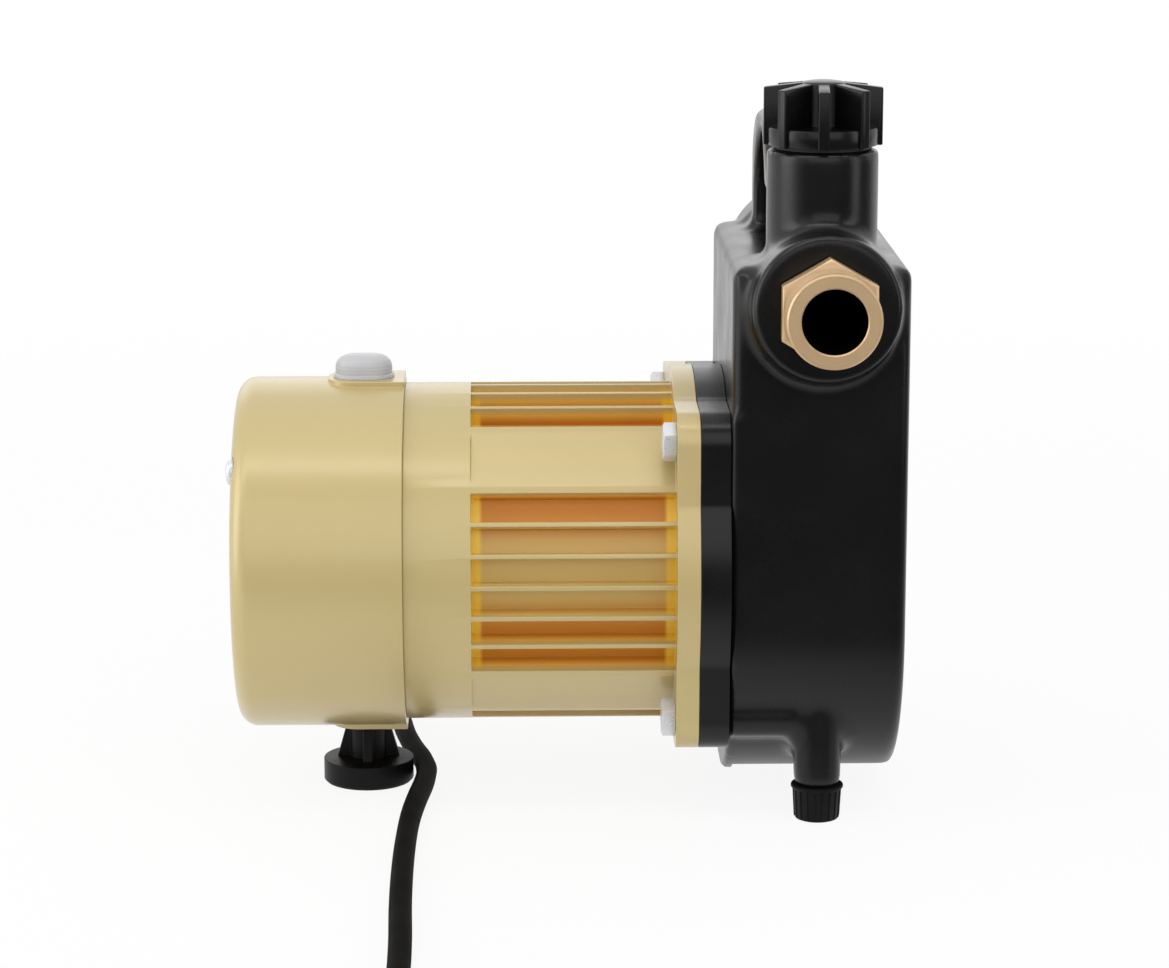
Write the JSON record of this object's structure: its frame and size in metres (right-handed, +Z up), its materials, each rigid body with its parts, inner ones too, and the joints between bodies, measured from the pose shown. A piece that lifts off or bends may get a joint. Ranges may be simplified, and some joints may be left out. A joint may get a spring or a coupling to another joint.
{
  "type": "utility transfer pump",
  "caption": "Portable electric transfer pump: finned motor with a covered switch, self-priming pump casing, hose-threaded ports, fill cap, carrying handle and feet.",
  "frame": {"origin": "on the floor, midway along the motor axis and across the ports", "axes": "+X along the motor axis towards the pump's front, +Y towards the far port, +Z up"},
  "size_m": [0.1968, 0.4552, 0.2158],
  "materials": {
    "motor_paint": "satin metallic paint",
    "bare_alloy": "as cast",
    "core_steel": "varnished laminations",
    "copper_wire": "enamelled wire",
    "plain_steel": "machined",
    "bearing_steel": "ground",
    "capacitor_can": "sleeved can",
    "black_plastic": "fine grained",
    "cap_plastic": "fine grained",
    "soft_rubber": "moulded",
    "ceramic": "ground",
    "brass": "machined",
    "zinc_steel": "zinc plated",
    "foot_rubber": "matt",
    "switch_plastic": "matt",
    "boot_rubber": "clear silicone",
    "cord_jacket": "matt jacket",
    "plug_metal": "nickel plated"
  },
  "bodies": {
    "pump": {"motor_housing": "motor_paint", "end_cover": "motor_paint", "rear_bracket": "bare_alloy", "stator_core": "core_steel", "windings": "copper_wire", "front_bearing_race": "bearing_steel", "rear_bearing_race": "bearing_steel", "bearing_balls": "bearing_steel", "run_capacitor": "capacitor_can", "capacitor_clip": "plain_steel", "seal_plate": "black_plastic", "casing_seal": "soft_rubber", "seal_seat": "ceramic", "diffuser": "black_plastic", "pump_casing": "black_plastic", "carry_handle": "black_plastic", "inlet_fitting": "brass", "outlet_fitting": "brass", "fitting_washers": "soft_rubber", "check_seat": "plain_steel", "check_pin": "plain_steel", "flange_bolts": "zinc_steel", "cover_screws": "zinc_steel", "motor_foot": "black_plastic", "foot_screw": "zinc_steel", "leg_caps": "foot_rubber", "switch_body": "switch_plastic", "switch_pin": "plain_steel", "switch_boot": "boot_rubber", "strain_relief": "cord_jacket", "cord": "cord_jacket", "cord_coil": "cord_jacket", "cord_tail": "cord_jacket", "plug_body": "cord_jacket", "plug_blades": "plug_metal"},
    "rotor": {"shaft": "plain_steel", "rotor_core": "core_steel", "rotor_end_rings": "bare_alloy", "bearing_inner_rings": "bearing_steel", "seal_head": "soft_rubber", "impeller": "brass", "impeller_nut": "plain_steel"},
    "cap_gasket": {"fill_cap_gasket": "soft_rubber"},
    "fill_cap": {"fill_cap": "cap_plastic"},
    "switch_rocker": {"switch_rocker": "switch_plastic"},
    "check_flap": {"check_flap": "soft_rubber"}
  },
  "joints": [
    {"name": "rotor_spin", "type": "hinge", "parent": "pump", "child": "rotor", "pos_m": [0, 0, 0.0715], "axis": [1, 0, 0], "continuous": true},
    {"name": "cap_lift", "type": "slide", "parent": "pump", "child": "cap_gasket", "axis": [0, 0, 1], "range_m": [0, 0.0121]},
    {"name": "cap_turn", "type": "hinge", "parent": "cap_gasket", "child": "fill_cap", "pos_m": [0.0737, -0.033, 0.1965], "axis": [0, 0, 1], "range_deg": [0, 1440]},
    {"name": "switch_tilt", "type": "hinge", "parent": "pump", "child": "switch_rocker", "pos_m": [-0.0593, 0, 0.1235], "axis": [0, 1, 0], "range_deg": [0, 16]},
    {"name": "check_swing", "type": "hinge", "parent": "pump", "child": "check_flap", "pos_m": [0.0737, -0.0403, 0.1636], "axis": [1, 0, 0], "range_deg": [0, 50]}
  ],
  "couplings": [
    {"joint": "cap_lift", "follows": "cap_turn", "m_per_rad": 0.00047746}
  ]
}
